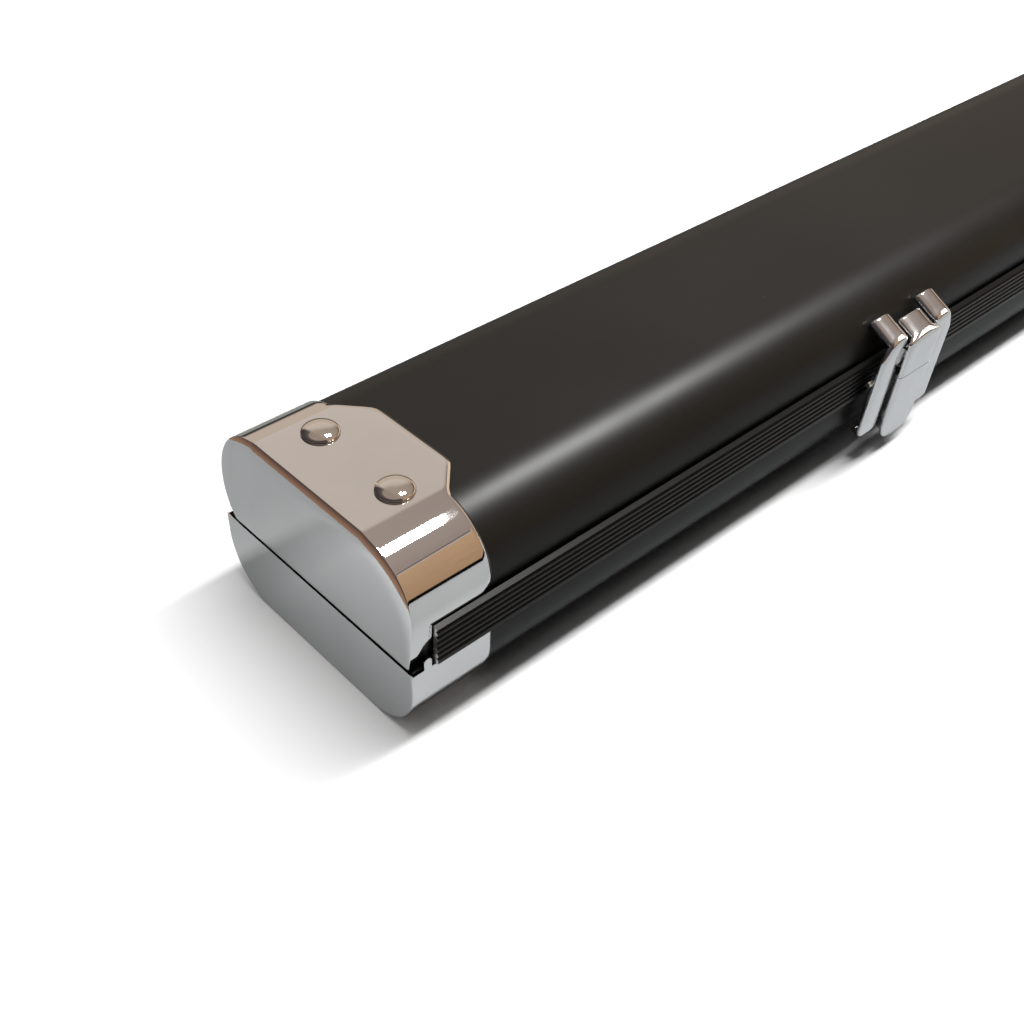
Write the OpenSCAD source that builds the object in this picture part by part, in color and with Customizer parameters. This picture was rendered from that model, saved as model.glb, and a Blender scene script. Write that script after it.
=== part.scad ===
// Slim aluminium case for a two-piece billiard cue.
// X runs along the case, the latches face -Y, the hinge is at +Y, and it stands on Z = 0.
// The shells are outlines drawn across the case and run out along X.

/* [Case] */
// Length over the end caps
case_length = 840; // [780:10:1000]
// Width over the end caps
case_width = 80; // [80:1:84]
// Height over the end caps, without the rivet heads
case_height = 58; // [58:1:62]
// Height of the line where the lid meets the base
seam_height = 25; // [25:0.5:26]
// Width of the gap between the lid caps and the base caps
seam_gap = 1; // [0.8:0.1:1.2]
// Radius of the lid's shoulders
shoulder_radius = 18.7; // [17:0.1:19]
// Radius with which the lid curls in towards the hinge
hinge_curl_radius = 22.7; // [22.5:0.1:23]
// Radius with which the lid curls in behind the closing strip
front_curl_radius = 65; // [60:1:80]
// Radius of the base's lower corners
keel_radius = 17.6; // [16:0.1:18]
// Wall of the two extruded shells
shell_wall = 1.4; // [1.2:0.1:1.6]

/* [End caps] */
// Sheet thickness of the end caps
cap_wall = 0.9; // [0.8:0.1:1]
// Reach of the side flanges along the case
flange_reach = 26.2; // [24:0.2:30]
// Reach of the tongue along the case
tongue_reach = 34.4; // [32:0.2:38]
// Width of the tongue's straight end
tongue_width = 28.8; // [24:0.2:32]
// Width of the raised flat on the lid cap
plateau_width = 46.6; // [44:0.2:48]
// Height of the raised flat on the lid cap
plateau_rise = 0.5; // [0.3:0.1:0.6]
// Distance of the cap rivets from the end of the case
cap_rivet_inset = 16.4; // [14:0.2:20]
// Distance between the two rivets of a cap
cap_rivet_spacing = 30; // [26:1:34]
// Diameter of a dome rivet head
cap_rivet_head = 10.2; // [9:0.2:11]

/* [Closing strip] */
// Height of the top of the closing strip
strip_top = 37.1; // [36:0.1:38]
// Distance of the strip's face from the middle of the case
strip_face = 41.5; // [41.2:0.1:42]
// Distance of the strip's ends from the ends of the case
strip_inset = 7; // [6.8:0.1:8]
// Number of ribs
rib_count = 6; // [5:1:7]

/* [Hinge] */
// Outside radius of the hinge barrel
barrel_radius = 1.9; // [1.8:0.05:1.9]
// Radius of the hinge pin
hinge_pin_radius = 1; // [0.9:0.05:1.1]
// Number of knuckles along the hinge
knuckle_count = 41; // [31:2:51]

/* [Latches] */
// Distance of each latch from its end of the case
latch_inset = 196; // [180:2:230]
// Width of the latch over its claw
claw_width = 37; // [36:0.5:38]
// Width of the latch lever
lever_width = 16.4; // [16:0.2:17]
// Lean of the closed latch towards the base
latch_lean = 4; // [3:0.5:4]

/* [Handle] */
// Distance between the legs of the handle's bow
handle_span = 108; // [100:2:130]
// Distance from the handle's pivot to the middle of its grip
handle_drop = 22; // [20:0.5:22]
// Radius of the grip at its middle
grip_radius = 6.2; // [5.8:0.1:6.2]

/* [Foam] */
// Radius of the channel for the butt
butt_radius = 16.3; // [15:0.1:16.5]
// Radius of the channel for the shaft
shaft_radius = 13; // [12:0.1:13.2]
// Length of the pocket for chalk
pocket_length = 56; // [40:1:80]

/* [Hidden] */
$fn = 64;

// small distances
over = 1;                        // how far a cut runs past what it cuts
slip = 0.1;                      // gap between a shell and the cap over it
pin_slack = 0.05;                // radial clearance of a pin or rivet

// case
half_length = case_length / 2;
half_width = case_width / 2;
cap_top = case_height - plateau_rise;
shoulder_y = half_width - shoulder_radius;
shoulder_z = cap_top - shoulder_radius;
keel_y = half_width - keel_radius;
shell_inset = cap_wall + slip;
inner_inset = shell_inset + shell_wall;
foam_inset = inner_inset + 0.4;
base_edge = seam_height - 1.1;   // top edge of the base shell
lid_edge = seam_height + 1;      // bottom edge of the lid shell
left_end = -half_length;         // the caps are drawn at this end and mirrored for the other

// end caps
flange_back = left_end + flange_reach;
tongue_back = left_end + tongue_reach;
seam_top = seam_height + seam_gap / 2;
seam_bottom = seam_height - seam_gap / 2;
base_flange_top = base_edge - 0.1;
notch_top = strip_top + 0.6;     // lower edge of the lid cap's front flange, above the strip
notch_x = left_end + strip_inset - 0.5;
flange_corner_radius = 4;
tab_x = left_end + 3.9;          // tab of the base cap, beside the strip's end
tab_width = 2.4;
tab_rise = 2.2;
cap_shank = 1.8;
cap_hole_depth = 5;

// hinge
hinge_y = half_width - 1.2;
hinge_z = seam_height + 1.2;
leaf = 0.9;
leaf_inner = half_width - 12.5;
leaf_outer = hinge_y - barrel_radius - 0.3;
lip = 1.2;                       // lip inside each shell that carries the hinge
lip_inner = leaf_inner - 0.5;
hinge_start = left_end + cap_wall + 0.6;
hinge_length = -2 * hinge_start;
knuckle_pitch = hinge_length / knuckle_count;
knuckle_gap = 0.4;
hinge_rivet_y = leaf_inner + 4;
hinge_rivet_count = 14;
hinge_rivet_pitch = hinge_length / hinge_rivet_count;
hinge_shank = 1.2;
hinge_tail = 0.6;                // height of the formed end of a hinge rivet

// closing strip
strip_back = half_width - 0.5;
strip_low = seam_height;
bridge_top = seam_height + 0.2;
tail_front = half_width - inner_inset - 0.2;
tail_wall = 1.1;
tail_low = keel_radius;
rib_pitch = (strip_top - 0.9 - strip_low) / rib_count;
groove_radius = 0.45;
strip_shank = 1.3;
plate = 1;                       // plates that the rivets hold on the strip
plate_height = 10.8;
latch_rivet_rise = 3.4;          // from the pivot up and down to the latch's rivets

// latch, in the plane across the case
latch_x = half_length - latch_inset;
pivot_y = -(strip_face + 2.4);
pivot_z = strip_top - 6.1;
pivot_radius = 0.9;
claw_pin_radius = 0.9;
claw_drop = 19;                  // from the lever's pivot down to the claw's pin
claw_sheet = 1.4;
claw_face = 2.6;                 // claw's face in front of the pivot
lever_face = 4.4;                // lever's face in front of the pivot
lever_low = 26.5;                // from the pivot down to the lever's end
arm_width = 8.5;
hook_radius = 10.4;
claw_pin_y = 0.5;
claw_top = 11;                   // from the pivot up to where the hooks bend
bracket_half = lever_width / 2 - 1.8;
pivot_poke = 1.6;                // how far the pivot stands out beside the claw

// handle
handle_y = -(strip_face + 4.8);
handle_z = pivot_z;
wire_radius = 1.7;
grip_length = handle_span - 14;
handle_bearing = 8;              // length of the bracket's bearing
handle_bracket_x = handle_span / 2 + 8;
handle_rivet_x = 7;              // from the middle of the bracket to its rivets
bearing_radius = 3;

// the origin is the middle of the whole footprint, from the handle to the hinge
front_reach = -handle_y + grip_radius;
rear_reach = hinge_y + barrel_radius;
body_y = (front_reach - rear_reach) / 2;

// foam
channel_inset = 22;              // from the end of the case to the end of a channel
channel_start = left_end + channel_inset;
channel_z = seam_height;
butt_y = -shell_wall - butt_radius + 0.3;
shaft_y = shaft_radius + 2.6;
foam_start = left_end + cap_wall + 3;
foam_front = -tail_front + tail_wall + 0.4;
tray_top = base_edge - lip - 0.3;
pad_low = lid_edge + lip + 0.3;
relief = 0.8;                    // room for the tails of the hinge rivets
pocket_wall = 14;                // foam between the shaft channel and the chalk pocket
pocket_start = half_length - channel_inset - pocket_length;
pocket_floor = 6;
scoop_radius = 24;
scoop_depth = 11;
scoop_x = 150;

// ---------------------------------------------------------------- placing

module placed() translate([0, body_y, 0]) children();

// runs an outline of the plane across the case from x0 to x1
module run(x0, x1) {
    translate([x0, 0, 0]) rotate([90, 0, 90]) linear_extrude(x1 - x0) children();
}

// runs an outline of the XZ plane from y0 to y1
module run_y(y0, y1) {
    translate([0, y1, 0]) rotate([90, 0, 0]) linear_extrude(y1 - y0) children();
}

module rod_x(x0, x1, y, z, r) {
    translate([x0, y, z]) rotate([0, 90, 0]) cylinder(h = x1 - x0, r = r);
}

module rod_y(x, y0, y1, z, r) {
    translate([x, y1, z]) rotate([90, 0, 0]) cylinder(h = y1 - y0, r = r);
}

// what is drawn for the left end appears at the right end
module right_end() mirror([1, 0, 0]) children();

// ---------------------------------------------------------------- outlines

module band(y0, y1, z0, z1) translate([y0, z0]) square([y1 - y0, z1 - z0]);

module disc(y, z, r) translate([y, z]) circle(r);

// outline of the lid at an inset, above the height low
module lid_outline(inset, low) {
    union() {
        band(-shoulder_y, shoulder_y, low, cap_top - inset);
        intersection() {
            band(-half_width, half_width, shoulder_z, cap_top);
            union() {
                disc(-shoulder_y, shoulder_z, shoulder_radius - inset);
                disc(shoulder_y, shoulder_z, shoulder_radius - inset);
            }
        }
        intersection() {
            band(0, half_width, low, shoulder_z);
            disc(half_width - hinge_curl_radius, shoulder_z, hinge_curl_radius - inset);
        }
        intersection() {
            band(-half_width, 0, low, shoulder_z);
            disc(front_curl_radius - half_width, shoulder_z, front_curl_radius - inset);
        }
    }
}

// outline of the base at an inset, below the height high
module base_outline(inset, high) {
    union() {
        band(inset - half_width, half_width - inset, keel_radius, high);
        band(-keel_y, keel_y, inset, high);
        intersection() {
            band(-half_width, half_width, 0, keel_radius);
            union() {
                disc(-keel_y, keel_radius, keel_radius - inset);
                disc(keel_y, keel_radius, keel_radius - inset);
            }
        }
    }
}

// ---------------------------------------------------------------- shells

module base_shell() {
    color("#1b1a19") placed() difference() {
        run(left_end + shell_inset, -left_end - shell_inset) union() {
            difference() {
                base_outline(shell_inset, base_edge);
                base_outline(inner_inset, base_edge + over);
            }
            band(lip_inner, half_width - inner_inset + 0.2, base_edge - lip, base_edge);
        }
        cap_rivet_holes(-over, cap_hole_depth);
        hinge_rivet_holes(base_edge - lip - over, base_edge + over);
    }
}

module lid_shell() {
    color("#1d1b19") placed() difference() {
        run(left_end + shell_inset, -left_end - shell_inset) union() {
            difference() {
                lid_outline(shell_inset, lid_edge);
                lid_outline(inner_inset, lid_edge - over);
            }
            intersection() {
                band(lip_inner, half_width, lid_edge, lid_edge + lip);
                lid_outline(shell_inset, lid_edge);
            }
        }
        cap_rivet_holes(case_height - cap_hole_depth, case_height + over);
        hinge_rivet_holes(lid_edge - over, lid_edge + lip + over);
    }
}

// ---------------------------------------------------------------- end caps

// outline of a cap seen from above: flanges to flange_back, then the tapering tongue
module cap_plan() {
    root = plateau_width / 2;
    tip = tongue_width / 2;
    polygon([
        [left_end, -half_width - over],
        [flange_back, -half_width - over],
        [flange_back, -root],
        [tongue_back, -tip],
        [tongue_back, tip],
        [flange_back, root],
        [flange_back, half_width + over],
        [left_end, half_width + over]
    ]);
}

// what is cut away to round the lower back corner of the lid cap's front flange
module flange_corner() {
    r = flange_corner_radius;
    translate([flange_back - r, notch_top - over]) difference() {
        square([r + over, r + over]);
        translate([0, r + over]) circle(r);
    }
}

// what the lid cap's front flange leaves free for the strip and its end
module strip_notch() {
    step = 4.2;
    hollow = 3;
    low = seam_height - over;
    union() {
        translate([notch_x, low]) square([tongue_reach, notch_top - low]);
        translate([left_end + cap_wall, low]) square([strip_inset, step + over]);
        translate([notch_x - 1.6, seam_height + 5]) circle(hollow);
    }
}

module lid_cap() {
    difference() {
        intersection() {
            difference() {
                union() {
                    run(left_end, tongue_back) lid_outline(0, seam_top);
                    run(left_end + 1, tongue_back)
                        band(-plateau_width / 2, plateau_width / 2, cap_top - 0.5, case_height);
                }
                run(left_end + cap_wall, tongue_back + over) lid_outline(cap_wall, seam_top - over);
            }
            linear_extrude(case_height + over) cap_plan();
        }
        run_y(-half_width - over, -half_width / 2) strip_notch();
        run_y(-half_width - over, -half_width / 2) flange_corner();
        // the rear flange stops above the hinge leaf
        run_y(half_width / 2, half_width + over)
            translate([left_end + cap_wall, seam_top - over])
                square([tongue_reach, lid_edge - seam_top + over]);
        cap_rivet_holes(case_height - cap_hole_depth, case_height + over);
    }
}

// small tab that closes the corner beside the strip's end
module base_tab() {
    run_y(-half_width, -half_width + cap_wall) union() {
        translate([tab_x, base_flange_top - over]) square([tab_width, tab_rise + over]);
        translate([tab_x + tab_width / 2, base_flange_top + tab_rise]) circle(tab_width / 2);
    }
}

module base_cap() {
    difference() {
        union() {
            intersection() {
                difference() {
                    run(left_end, tongue_back) base_outline(0, seam_bottom);
                    run(left_end + cap_wall, tongue_back + over)
                        base_outline(cap_wall, seam_bottom + over);
                }
                translate([0, 0, -over]) linear_extrude(case_height) cap_plan();
            }
            base_tab();
        }
        // the flanges stop below the end wall's edge, except for the tab
        difference() {
            translate([left_end + cap_wall, -half_width - over, base_flange_top])
                cube([tongue_reach, case_width + 2 * over, 2 * over]);
            translate([tab_x, -half_width - over, base_flange_top - over])
                cube([tab_width, half_width / 2, 4 * over]);
        }
        cap_rivet_holes(-over, cap_hole_depth);
    }
}

module lid_cap_left() color("#c9c6c2") placed() lid_cap();
module lid_cap_right() color("#c9c6c2") placed() right_end() lid_cap();
module base_cap_left() color("#b9bbbd") placed() base_cap();
module base_cap_right() color("#b9bbbd") placed() right_end() base_cap();

// ---------------------------------------------------------------- cap rivets

module at_cap_rivets() {
    for (side = [-1, 1], row = [-1, 1])
        translate([side * (half_length - cap_rivet_inset), row * cap_rivet_spacing / 2, 0]) children();
}

module cap_rivet_holes(z0, z1) {
    at_cap_rivets() translate([0, 0, z0]) cylinder(h = z1 - z0, r = cap_shank + pin_slack);
}

// dome of a given radius and height standing on z = 0
module dome(r, h) {
    sphere_radius = (r * r + h * h) / (2 * h);
    intersection() {
        translate([0, 0, h - sphere_radius]) sphere(sphere_radius, $fn = 96);
        cylinder(h = h + over, r = r + over);
    }
}

module lid_cap_rivets() {
    head_rise = 2;
    tail = 1;
    tail_z = cap_top - inner_inset;
    color("#d8d5d0") placed() at_cap_rivets() union() {
        translate([0, 0, case_height]) dome(cap_rivet_head / 2, head_rise);
        translate([0, 0, tail_z]) cylinder(h = case_height + head_rise / 4 - tail_z, r = cap_shank);
        translate([0, 0, tail_z - tail]) cylinder(h = tail, r = cap_shank + 1);
    }
}

// the base's rivets have flat ends, flush with the underside of the caps
module base_cap_rivets() {
    color("#c4c4c4") placed() at_cap_rivets() union() {
        cylinder(h = inner_inset, r = cap_shank);
        translate([0, 0, inner_inset]) cylinder(h = 0.35, r = cap_shank + 0.8);
    }
}

// ---------------------------------------------------------------- hinge

module at_hinge_rivets() {
    for (i = [0 : hinge_rivet_count - 1])
        translate([hinge_start + (i + 0.5) * hinge_rivet_pitch, hinge_rivet_y, 0]) children();
}

module hinge_rivet_holes(z0, z1) {
    at_hinge_rivets() translate([0, 0, z0]) cylinder(h = z1 - z0, r = hinge_shank + pin_slack);
}

// a leaf from z0 to z1 with every other knuckle, beginning with the knuckle first
module hinge_leaf(z0, z1, first) {
    difference() {
        union() {
            translate([hinge_start, leaf_inner, z0])
                cube([hinge_length, leaf_outer - leaf_inner, z1 - z0]);
            for (i = [first : 2 : knuckle_count - 1]) {
                x0 = hinge_start + i * knuckle_pitch + knuckle_gap / 2;
                x1 = x0 + knuckle_pitch - knuckle_gap;
                rod_x(x0, x1, hinge_y, hinge_z, barrel_radius);
                translate([x0, leaf_outer - over, z0])
                    cube([x1 - x0, hinge_y - leaf_outer + over, z1 - z0]);
            }
        }
        rod_x(hinge_start - over, -hinge_start + over, hinge_y, hinge_z, hinge_pin_radius + pin_slack);
        hinge_rivet_holes(z0 - over, z1 + over);
    }
}

module hinge_leaf_base() color("#c8c2b4") placed() hinge_leaf(base_edge, base_edge + leaf, 0);
module hinge_leaf_lid() color("#c8c2b4") placed() hinge_leaf(lid_edge - leaf, lid_edge, 1);
module hinge_pin() {
    color("#a9a59c") placed() rod_x(hinge_start, -hinge_start, hinge_y, hinge_z, hinge_pin_radius);
}

// flush in the leaf, with a flat tail on the far side of the lip
module hinge_rivets_base() {
    color("#b5b0a6") placed() at_hinge_rivets() union() {
        translate([0, 0, base_edge - lip]) cylinder(h = lip + leaf, r = hinge_shank);
        translate([0, 0, base_edge - lip - hinge_tail])
            cylinder(h = hinge_tail, r = hinge_shank + 0.7);
    }
}

module hinge_rivets_lid() {
    color("#b5b0a6") placed() at_hinge_rivets() union() {
        translate([0, 0, lid_edge - leaf]) cylinder(h = lip + leaf, r = hinge_shank);
        translate([0, 0, lid_edge + lip]) cylinder(h = hinge_tail, r = hinge_shank + 0.7);
    }
}

// ---------------------------------------------------------------- closing strip

// ribbed face outside, a bridge in over the base shell's edge and a tail down its inside
module closing_strip() {
    chamfer = 0.5;
    color("#141414") placed() difference() {
        run(left_end + strip_inset, -left_end - strip_inset) difference() {
            union() {
                polygon([
                    [-strip_face, strip_low],
                    [-strip_face, strip_top - chamfer],
                    [-strip_face + chamfer, strip_top],
                    [-strip_back, strip_top],
                    [-strip_back, strip_low]
                ]);
                band(-half_width - 0.2, -tail_front + tail_wall, base_edge, bridge_top);
                band(-tail_front, -tail_front + tail_wall, tail_low, bridge_top);
            }
            for (i = [1 : rib_count]) disc(-strip_face - 0.05, strip_low + i * rib_pitch, groove_radius);
        }
        strip_holes();
    }
}

// holes through the strip for the rivets of the latches and of the handle
module strip_holes() {
    at_latch_rivets() rod_y(0, -strip_face - over, -strip_back + over, 0, strip_shank + pin_slack);
    at_handle_rivets() rod_y(0, -strip_face - over, -strip_back + over, 0, strip_shank + pin_slack);
}

module at_latch_rivets() {
    for (side = [-1, 1], row = [-1, 1])
        translate([side * latch_x, 0, pivot_z + row * latch_rivet_rise]) children();
}

module at_handle_rivets() {
    for (side = [-1, 1], row = [-1, 1])
        translate([side * (handle_bracket_x + row * handle_rivet_x), 0, handle_z]) children();
}

// rivet through a plate on the strip: round head in front, flush at the back
module strip_rivet() {
    union() {
        translate([0, -strip_face - plate, 0]) rotate([90, 0, 0]) dome(2.1, 0.8);
        rod_y(0, -strip_face - plate - 0.3, -strip_back, 0, strip_shank);
    }
}

module latch_rivets() color("#bdbdbd") placed() at_latch_rivets() strip_rivet();
module handle_rivets() color("#bdbdbd") placed() at_handle_rivets() strip_rivet();

// ---------------------------------------------------------------- latch
// Each latch is drawn upright around its pivot at the origin, then leaned and moved.

module at_latch(x, lean) translate([x, pivot_y, pivot_z]) rotate([lean, 0, 0]) children();

// plate on the strip with two ears that hold the lever's pivot
module latch_bracket(x) {
    back = -strip_face - pivot_y;
    ear = 1.2;
    ear_radius = 1.8;
    placed() at_latch(x, 0) difference() {
        union() {
            translate([-bracket_half, back - plate, -plate_height / 2])
                cube([2 * bracket_half, plate, plate_height]);
            for (ear_x = [-bracket_half, bracket_half - ear]) translate([ear_x, 0, 0]) {
                translate([0, 0, -ear_radius]) cube([ear, back, 2 * ear_radius]);
                rod_x(0, ear, 0, 0, ear_radius);
            }
        }
        rod_x(-claw_width, claw_width, 0, 0, pivot_radius + pin_slack);
        for (row = [-1, 1])
            rod_y(0, -over, back + over, row * latch_rivet_rise, strip_shank + pin_slack);
    }
}

// pin that runs behind the claw's arms and stands out on both sides
module latch_pivot(x) {
    reach = claw_width / 2 + pivot_poke;
    placed() at_latch(x, 0) rod_x(-reach, reach, 0, 0, pivot_radius);
}

// channel-shaped lever: face plate with a round end, two cheeks on the pivot and the claw pin
module latch_lever(x) {
    cheek = 1.4;
    half = lever_width / 2;
    placed() at_latch(x, latch_lean) difference() {
        union() {
            run_y(-lever_face, -lever_face + claw_sheet) lever_outline(-1);
            for (cheek_x = [-half, half - cheek]) run(cheek_x, cheek_x + cheek) lever_cheek();
        }
        rod_x(-claw_width, claw_width, 0, 0, pivot_radius + pin_slack);
        rod_x(-claw_width, claw_width, claw_pin_y, -claw_drop, claw_pin_radius + pin_slack);
    }
}

// side view of a cheek, narrow beside the strip and wider around the claw pin
module lever_cheek() {
    eye = 2;
    union() {
        disc(0, 0, eye);
        polygon([
            [-lever_face + claw_sheet, -1],
            [0, eye],
            [1.4, 1.4],
            [1.4, -9],
            [claw_pin_y + eye, -claw_drop],
            [claw_pin_y, -claw_drop - eye],
            [-lever_face + claw_sheet / 2, -claw_drop - eye - 1],
            [-lever_face + claw_sheet / 2, -1]
        ]);
        disc(claw_pin_y, -claw_drop, eye);
    }
}

// front view of the lever below the height top
module lever_outline(top) {
    half = lever_width / 2;
    end = 6;
    union() {
        translate([-half, -lever_low + end]) square([lever_width, top + lever_low - end]);
        translate([-half + end, -lever_low]) square([lever_width - 2 * end, end + over]);
        for (side = [-1, 1]) translate([side * (half - end), -lever_low + end]) circle(end);
    }
}

module claw_pin(x) {
    placed() at_latch(x, latch_lean)
        rod_x(-claw_width / 2 + 0.3, claw_width / 2 - 0.3, claw_pin_y, -claw_drop, claw_pin_radius);
}

// claw: raised middle panel above the lever, two arms with eyes, two hooks over the lid's shoulder
module latch_claw(x) {
    half = lever_width / 2;
    panel_low = -0.4;
    web_low = 3.2;
    step = lever_face - claw_face;
    arm_inner = claw_width / 2 - arm_width;
    placed() at_latch(x, latch_lean) difference() {
        union() {
            translate([-half, -lever_face, panel_low])
                cube([lever_width, claw_sheet, claw_top - panel_low]);
            translate([-arm_inner - over, -lever_face, web_low])
                cube([2 * (arm_inner + over), step + claw_sheet, claw_top - web_low]);
            for (arm_x = [-claw_width / 2, arm_inner]) {
                translate([arm_x, -claw_face, -claw_drop])
                    cube([arm_width, claw_sheet, claw_drop + claw_top]);
                run(arm_x, arm_x + arm_width) claw_eye();
                run(arm_x, arm_x + arm_width) claw_hook();
            }
        }
        rod_x(-claw_width, claw_width, claw_pin_y, -claw_drop, claw_pin_radius + pin_slack);
    }
}

// eye rolled around the claw pin, behind the arm's face
module claw_eye() {
    roll = claw_face + claw_pin_y;
    union() {
        disc(claw_pin_y, -claw_drop, claw_pin_radius + 1.2);
        intersection() {
            disc(claw_pin_y, -claw_drop, roll);
            band(-claw_face, claw_pin_y, -claw_drop - roll, -claw_drop + 2);
        }
    }
}

// quarter bend that carries an arm back over the lid's shoulder
module claw_hook() {
    start = claw_top - 1;
    intersection() {
        difference() {
            disc(hook_radius - claw_face, start, hook_radius);
            disc(hook_radius - claw_face, start, hook_radius - claw_sheet);
        }
        band(-claw_face - over, hook_radius - claw_face, start, start + hook_radius + over);
    }
}

module latch_bracket_left() color("#a8a8a8") latch_bracket(-latch_x);
module latch_bracket_right() color("#a8a8a8") latch_bracket(latch_x);
module latch_pivot_left() color("#cfcfcf") latch_pivot(-latch_x);
module latch_pivot_right() color("#cfcfcf") latch_pivot(latch_x);
module latch_lever_left() color("#c2c4c6") latch_lever(-latch_x);
module latch_lever_right() color("#c2c4c6") latch_lever(latch_x);
module claw_pin_left() color("#cfcfcf") claw_pin(-latch_x);
module claw_pin_right() color("#cfcfcf") claw_pin(latch_x);
module latch_claw_left() color("#b4b6b8") latch_claw(-latch_x);
module latch_claw_right() color("#b4b6b8") latch_claw(latch_x);

// ---------------------------------------------------------------- handle

// plate on the strip with a bearing for the end of the handle's bow, at the right
module handle_bracket() {
    back = -strip_face - handle_y;
    plate_length = 21;
    bearing_start = handle_bracket_x - handle_bearing / 2;
    translate([0, handle_y, handle_z]) difference() {
        union() {
            translate([handle_bracket_x - plate_length / 2, back - plate, -plate_height / 2])
                cube([plate_length, plate, plate_height]);
            rod_x(bearing_start, bearing_start + handle_bearing, 0, 0, bearing_radius);
            translate([bearing_start, 0, -bearing_radius])
                cube([handle_bearing, back, 2 * bearing_radius]);
        }
        rod_x(0, handle_span, 0, 0, wire_radius + pin_slack);
        translate([0, -handle_y, -handle_z]) at_handle_rivets()
            rod_y(0, -strip_face - 2 * over, -strip_back, 0, strip_shank + pin_slack);
    }
}

module handle_bracket_left() color("#bcbcbc") placed() mirror([1, 0, 0]) handle_bracket();
module handle_bracket_right() color("#bcbcbc") placed() handle_bracket();

// round wire: out of the bearings, down to the grip and through it
module handle_bow() {
    leg_x = handle_span / 2;
    end_x = handle_bracket_x + handle_bearing / 2 + 1;
    color("#c6c8ca") placed() translate([0, handle_y, handle_z]) union() {
        for (side = [-1, 1]) {
            rod_x(min(side * leg_x, side * end_x), max(side * leg_x, side * end_x), 0, 0, wire_radius);
            translate([side * leg_x, 0, 0]) sphere(wire_radius);
            translate([side * leg_x, 0, -handle_drop]) cylinder(h = handle_drop, r = wire_radius);
            translate([side * leg_x, 0, -handle_drop]) sphere(wire_radius);
        }
        rod_x(-leg_x, leg_x, 0, -handle_drop, wire_radius);
    }
}

// grip, a little fuller in the middle than at its ends
module handle_grip() {
    end_radius = grip_radius - 1;
    shoulder = grip_length / 2 - 14;
    color("#171717") placed() translate([0, handle_y, handle_z - handle_drop]) rotate([0, 90, 0])
        rotate_extrude() polygon([
            [wire_radius + pin_slack, -grip_length / 2],
            [end_radius, -grip_length / 2],
            [grip_radius, -shoulder],
            [grip_radius, shoulder],
            [end_radius, grip_length / 2],
            [wire_radius + pin_slack, grip_length / 2]
        ]);
}

// ---------------------------------------------------------------- foam

// round channels for the two halves of the cue, the same in the tray and in the lid
module channels() {
    rod_x(channel_start, -channel_start, butt_y, channel_z, butt_radius);
    rod_x(channel_start, pocket_start - pocket_wall, shaft_y, channel_z, shaft_radius);
}

module foam_tray() {
    pocket_y = shaft_y - shaft_radius;
    scoop_start = butt_y - 13;
    scoop_end = shaft_y + 10;
    scoop_z = tray_top + scoop_radius - scoop_depth;
    color("#2b2b2e") placed() difference() {
        run(foam_start, -foam_start) difference() {
            intersection() {
                base_outline(foam_inset, tray_top);
                band(foam_front, half_width, 0, seam_height);
            }
            band(lip_inner - 0.4, half_width, tray_top - relief, seam_height);
        }
        channels();
        translate([pocket_start, pocket_y, pocket_floor])
            cube([pocket_length, 2 * shaft_radius, seam_height]);
        // scoops across the channels, to lift the cue out
        for (side = [-1, 1])
            rod_y(side * scoop_x, scoop_start, scoop_end, scoop_z, scoop_radius);
    }
}

module lid_pad() {
    color("#2b2b2e") placed() difference() {
        run(foam_start, -foam_start) difference() {
            lid_outline(foam_inset, pad_low);
            band(lip_inner - 0.4, half_width, pad_low - over, pad_low + relief);
        }
        channels();
        // the pad also clears the tails of the cap rivets
        at_cap_rivets() translate([0, 0, cap_top - inner_inset - 1.6])
            cylinder(h = 4, r = cap_shank + 1.6);
    }
}

base_shell();
closing_strip();
base_cap_left();
base_cap_right();
base_cap_rivets();
hinge_leaf_base();
hinge_pin();
hinge_rivets_base();
foam_tray();
latch_bracket_left();
latch_bracket_right();
latch_pivot_left();
latch_pivot_right();
latch_rivets();
handle_bracket_left();
handle_bracket_right();
handle_rivets();
lid_shell();
lid_cap_left();
lid_cap_right();
lid_cap_rivets();
hinge_leaf_lid();
hinge_rivets_lid();
lid_pad();
latch_lever_left();
latch_lever_right();
claw_pin_left();
claw_pin_right();
latch_claw_left();
latch_claw_right();
handle_bow();
handle_grip();
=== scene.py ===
# Slim aluminium cue case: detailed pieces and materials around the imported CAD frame.
# The case frame has x along the case, y = 0 at its mid-plane and z = 0 on the floor.
import math
import bmesh
import bpy
from mathutils import Matrix, Vector


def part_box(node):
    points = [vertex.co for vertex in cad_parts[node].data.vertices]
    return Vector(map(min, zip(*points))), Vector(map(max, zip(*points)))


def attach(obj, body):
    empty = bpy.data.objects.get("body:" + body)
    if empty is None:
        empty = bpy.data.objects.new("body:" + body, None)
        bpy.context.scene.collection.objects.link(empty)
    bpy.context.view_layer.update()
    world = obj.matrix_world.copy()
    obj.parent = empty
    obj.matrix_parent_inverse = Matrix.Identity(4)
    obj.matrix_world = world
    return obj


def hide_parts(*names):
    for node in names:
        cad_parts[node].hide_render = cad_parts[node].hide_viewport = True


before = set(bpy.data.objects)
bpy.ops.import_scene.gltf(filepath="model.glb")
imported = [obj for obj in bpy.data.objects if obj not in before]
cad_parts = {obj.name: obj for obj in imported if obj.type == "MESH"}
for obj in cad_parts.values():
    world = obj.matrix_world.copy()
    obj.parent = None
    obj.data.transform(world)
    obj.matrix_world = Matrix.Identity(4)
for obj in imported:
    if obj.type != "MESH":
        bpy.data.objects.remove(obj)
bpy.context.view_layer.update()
scene = bpy.context.scene
MM = 0.001

# ---------------------------------------------------------------- sizes
# Places come from the frame's boxes. The radii and walls are those of the case's cross-section.

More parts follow.
